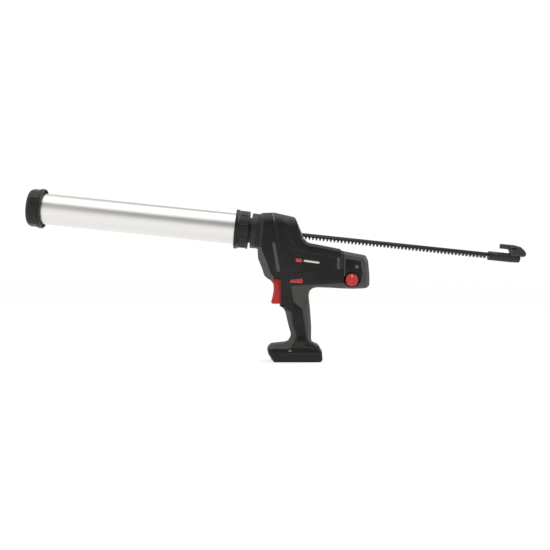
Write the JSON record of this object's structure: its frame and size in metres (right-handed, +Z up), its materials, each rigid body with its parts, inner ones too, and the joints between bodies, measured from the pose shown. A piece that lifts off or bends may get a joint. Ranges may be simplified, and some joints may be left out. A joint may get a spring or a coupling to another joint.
{
  "type": "caulking gun",
  "caption": "Cordless barrel caulking gun for foil packs: aluminium tube, toothed push rod with hook handle, trigger, speed dial and battery foot.",
  "frame": {"origin": "middle of the bounding box's underside, on the surface that the battery foot stands on", "axes": "+X to the rear along the gun, +Y to its right, +Z up"},
  "size_m": [0.8708, 0.069, 0.3008],
  "materials": {
    "satin_aluminium": "satin",
    "black_plastic": "fine grained",
    "grey_rubber": "soft matt",
    "red_plastic": "semi-gloss",
    "dark_steel": "oxide black",
    "bright_steel": "machined",
    "neck_metal": "cast, dark coat",
    "gear_brass": "machined",
    "white_plastic": "smooth",
    "board_green": "board",
    "lens_plastic": "clear gloss"
  },
  "bodies": {
    "gun": {"housing_left": "black_plastic", "housing_right": "black_plastic", "rear_cap": "black_plastic", "grip_pad_left": "grey_rubber", "grip_pad_right": "grey_rubber", "barrel_neck": "neck_metal", "barrel_tube": "satin_aluminium", "rod_bush_front": "white_plastic", "rod_bush_rear": "black_plastic", "gear_plate_left": "bright_steel", "gear_plate_right": "bright_steel", "plate_post_1": "bright_steel", "plate_post_2": "bright_steel", "axle_bearing_1": "bright_steel", "axle_bearing_2": "bright_steel", "axle_bearing_3": "bright_steel", "axle_bearing_4": "bright_steel", "shaft_bracket": "bright_steel", "gearbox_case": "neck_metal", "ring_gear": "bright_steel", "motor_can": "bright_steel", "motor_end_bell": "black_plastic", "trigger_switch": "black_plastic", "trigger_spring": "bright_steel", "dial_potentiometer": "board_green", "control_board": "board_green", "terminal_block": "black_plastic", "charge_lens": "lens_plastic", "cap_screw": "bright_steel", "housing_screw_1": "dark_steel", "housing_screw_2": "dark_steel", "housing_screw_3": "dark_steel", "housing_screw_4": "dark_steel"},
    "push_rod": {"rack_rod": "dark_steel", "rod_handle": "dark_steel", "handle_pin": "bright_steel", "piston_disc": "black_plastic", "piston_seal": "grey_rubber", "piston_screw": "bright_steel"},
    "front_cap": {"front_cap": "black_plastic"},
    "rear_nut": {"rear_nut": "black_plastic"},
    "upper_axle": {"pinion_axle": "bright_steel", "drive_pinion": "dark_steel", "spur_wheel": "bright_steel"},
    "lower_axle": {"cross_axle": "bright_steel", "spur_pinion": "dark_steel", "bevel_wheel": "bright_steel"},
    "bevel_shaft": {"bevel_pinion": "dark_steel", "clutch_hub": "dark_steel"},
    "rotor": {"motor_shaft": "bright_steel", "motor_rotor": "dark_steel", "cooling_fan": "black_plastic", "sun_gear": "gear_brass"},
    "carrier": {"planet_carrier": "dark_steel"},
    "planet_1": {"planet_gear_1": "gear_brass"},
    "planet_2": {"planet_gear_2": "gear_brass"},
    "planet_3": {"planet_gear_3": "gear_brass"},
    "trigger": {"trigger": "red_plastic"},
    "lock_button": {"lock_button": "red_plastic"},
    "speed_dial": {"speed_dial": "red_plastic"}
  },
  "joints": [
    {"name": "rod_slide", "type": "slide", "parent": "gun", "child": "push_rod", "axis": [-0.9945, 0, 0.1045], "range_m": [0, 0.32]},
    {"name": "cap_pull", "type": "slide", "parent": "gun", "child": "front_cap", "axis": [-0.9945, 0, 0.1045], "range_m": [0, 0.045]},
    {"name": "nut_turn", "type": "hinge", "parent": "gun", "child": "rear_nut", "pos_m": [-0.06095, 0, 0.22934], "axis": [0.9945, 0, -0.1045], "continuous": true},
    {"name": "upper_axle_turn", "type": "hinge", "parent": "gun", "child": "upper_axle", "pos_m": [0.00823, 0, 0.20829], "axis": [0, 1, 0], "continuous": true},
    {"name": "lower_axle_turn", "type": "hinge", "parent": "gun", "child": "lower_axle", "pos_m": [0.00445, 0, 0.17229], "axis": [0, 1, 0], "continuous": true},
    {"name": "bevel_shaft_turn", "type": "hinge", "parent": "gun", "child": "bevel_shaft", "pos_m": [0.01837, 0, 0.17082], "axis": [0.9945, 0, -0.1045], "continuous": true},
    {"name": "rotor_spin", "type": "hinge", "parent": "gun", "child": "rotor", "pos_m": [0.09594, 0, 0.16267], "axis": [0.9945, 0, -0.1045], "continuous": true},
    {"name": "carrier_spin", "type": "hinge", "parent": "gun", "child": "carrier", "pos_m": [0.04423, 0, 0.16811], "axis": [0.9945, 0, -0.1045], "continuous": true},
    {"name": "planet_1_spin", "type": "hinge", "parent": "carrier", "child": "planet_1", "pos_m": [0.05914, 0.0102, 0.16654], "axis": [0.9945, 0, -0.1045], "continuous": true},
    {"name": "planet_2_spin", "type": "hinge", "parent": "carrier", "child": "planet_2", "pos_m": [0.06007, -0.0051, 0.17532], "axis": [0.9945, 0, -0.1045], "continuous": true},
    {"name": "planet_3_spin", "type": "hinge", "parent": "carrier", "child": "planet_3", "pos_m": [0.05822, -0.0051, 0.15775], "axis": [0.9945, 0, -0.1045], "continuous": true},
    {"name": "trigger_press", "type": "slide", "parent": "gun", "child": "trigger", "axis": [1, 0, 0], "range_m": [0, 0.0065], "stiffness_N_per_m": 700, "springref_m": -0.003, "deforming": ["trigger_spring"]},
    {"name": "lock_slide", "type": "slide", "parent": "gun", "child": "lock_button", "axis": [0, 1, 0], "range_m": [0, 0.004]},
    {"name": "dial_turn", "type": "hinge", "parent": "gun", "child": "speed_dial", "pos_m": [0.12802, -0.0315, 0.1414], "axis": [0, 1, 0], "range_deg": [0, 270]}
  ],
  "couplings": [
    {"joint": "upper_axle_turn", "follows": "rod_slide", "rad_per_m": -100},
    {"joint": "lower_axle_turn", "follows": "rod_slide", "rad_per_m": 300},
    {"joint": "bevel_shaft_turn", "follows": "rod_slide", "rad_per_m": 600},
    {"joint": "carrier_spin", "follows": "rotor_spin", "ratio": 0.25},
    {"joint": "planet_1_spin", "follows": "rotor_spin", "ratio": -0.75},
    {"joint": "planet_2_spin", "follows": "rotor_spin", "ratio": -0.75},
    {"joint": "planet_3_spin", "follows": "rotor_spin", "ratio": -0.75}
  ]
}
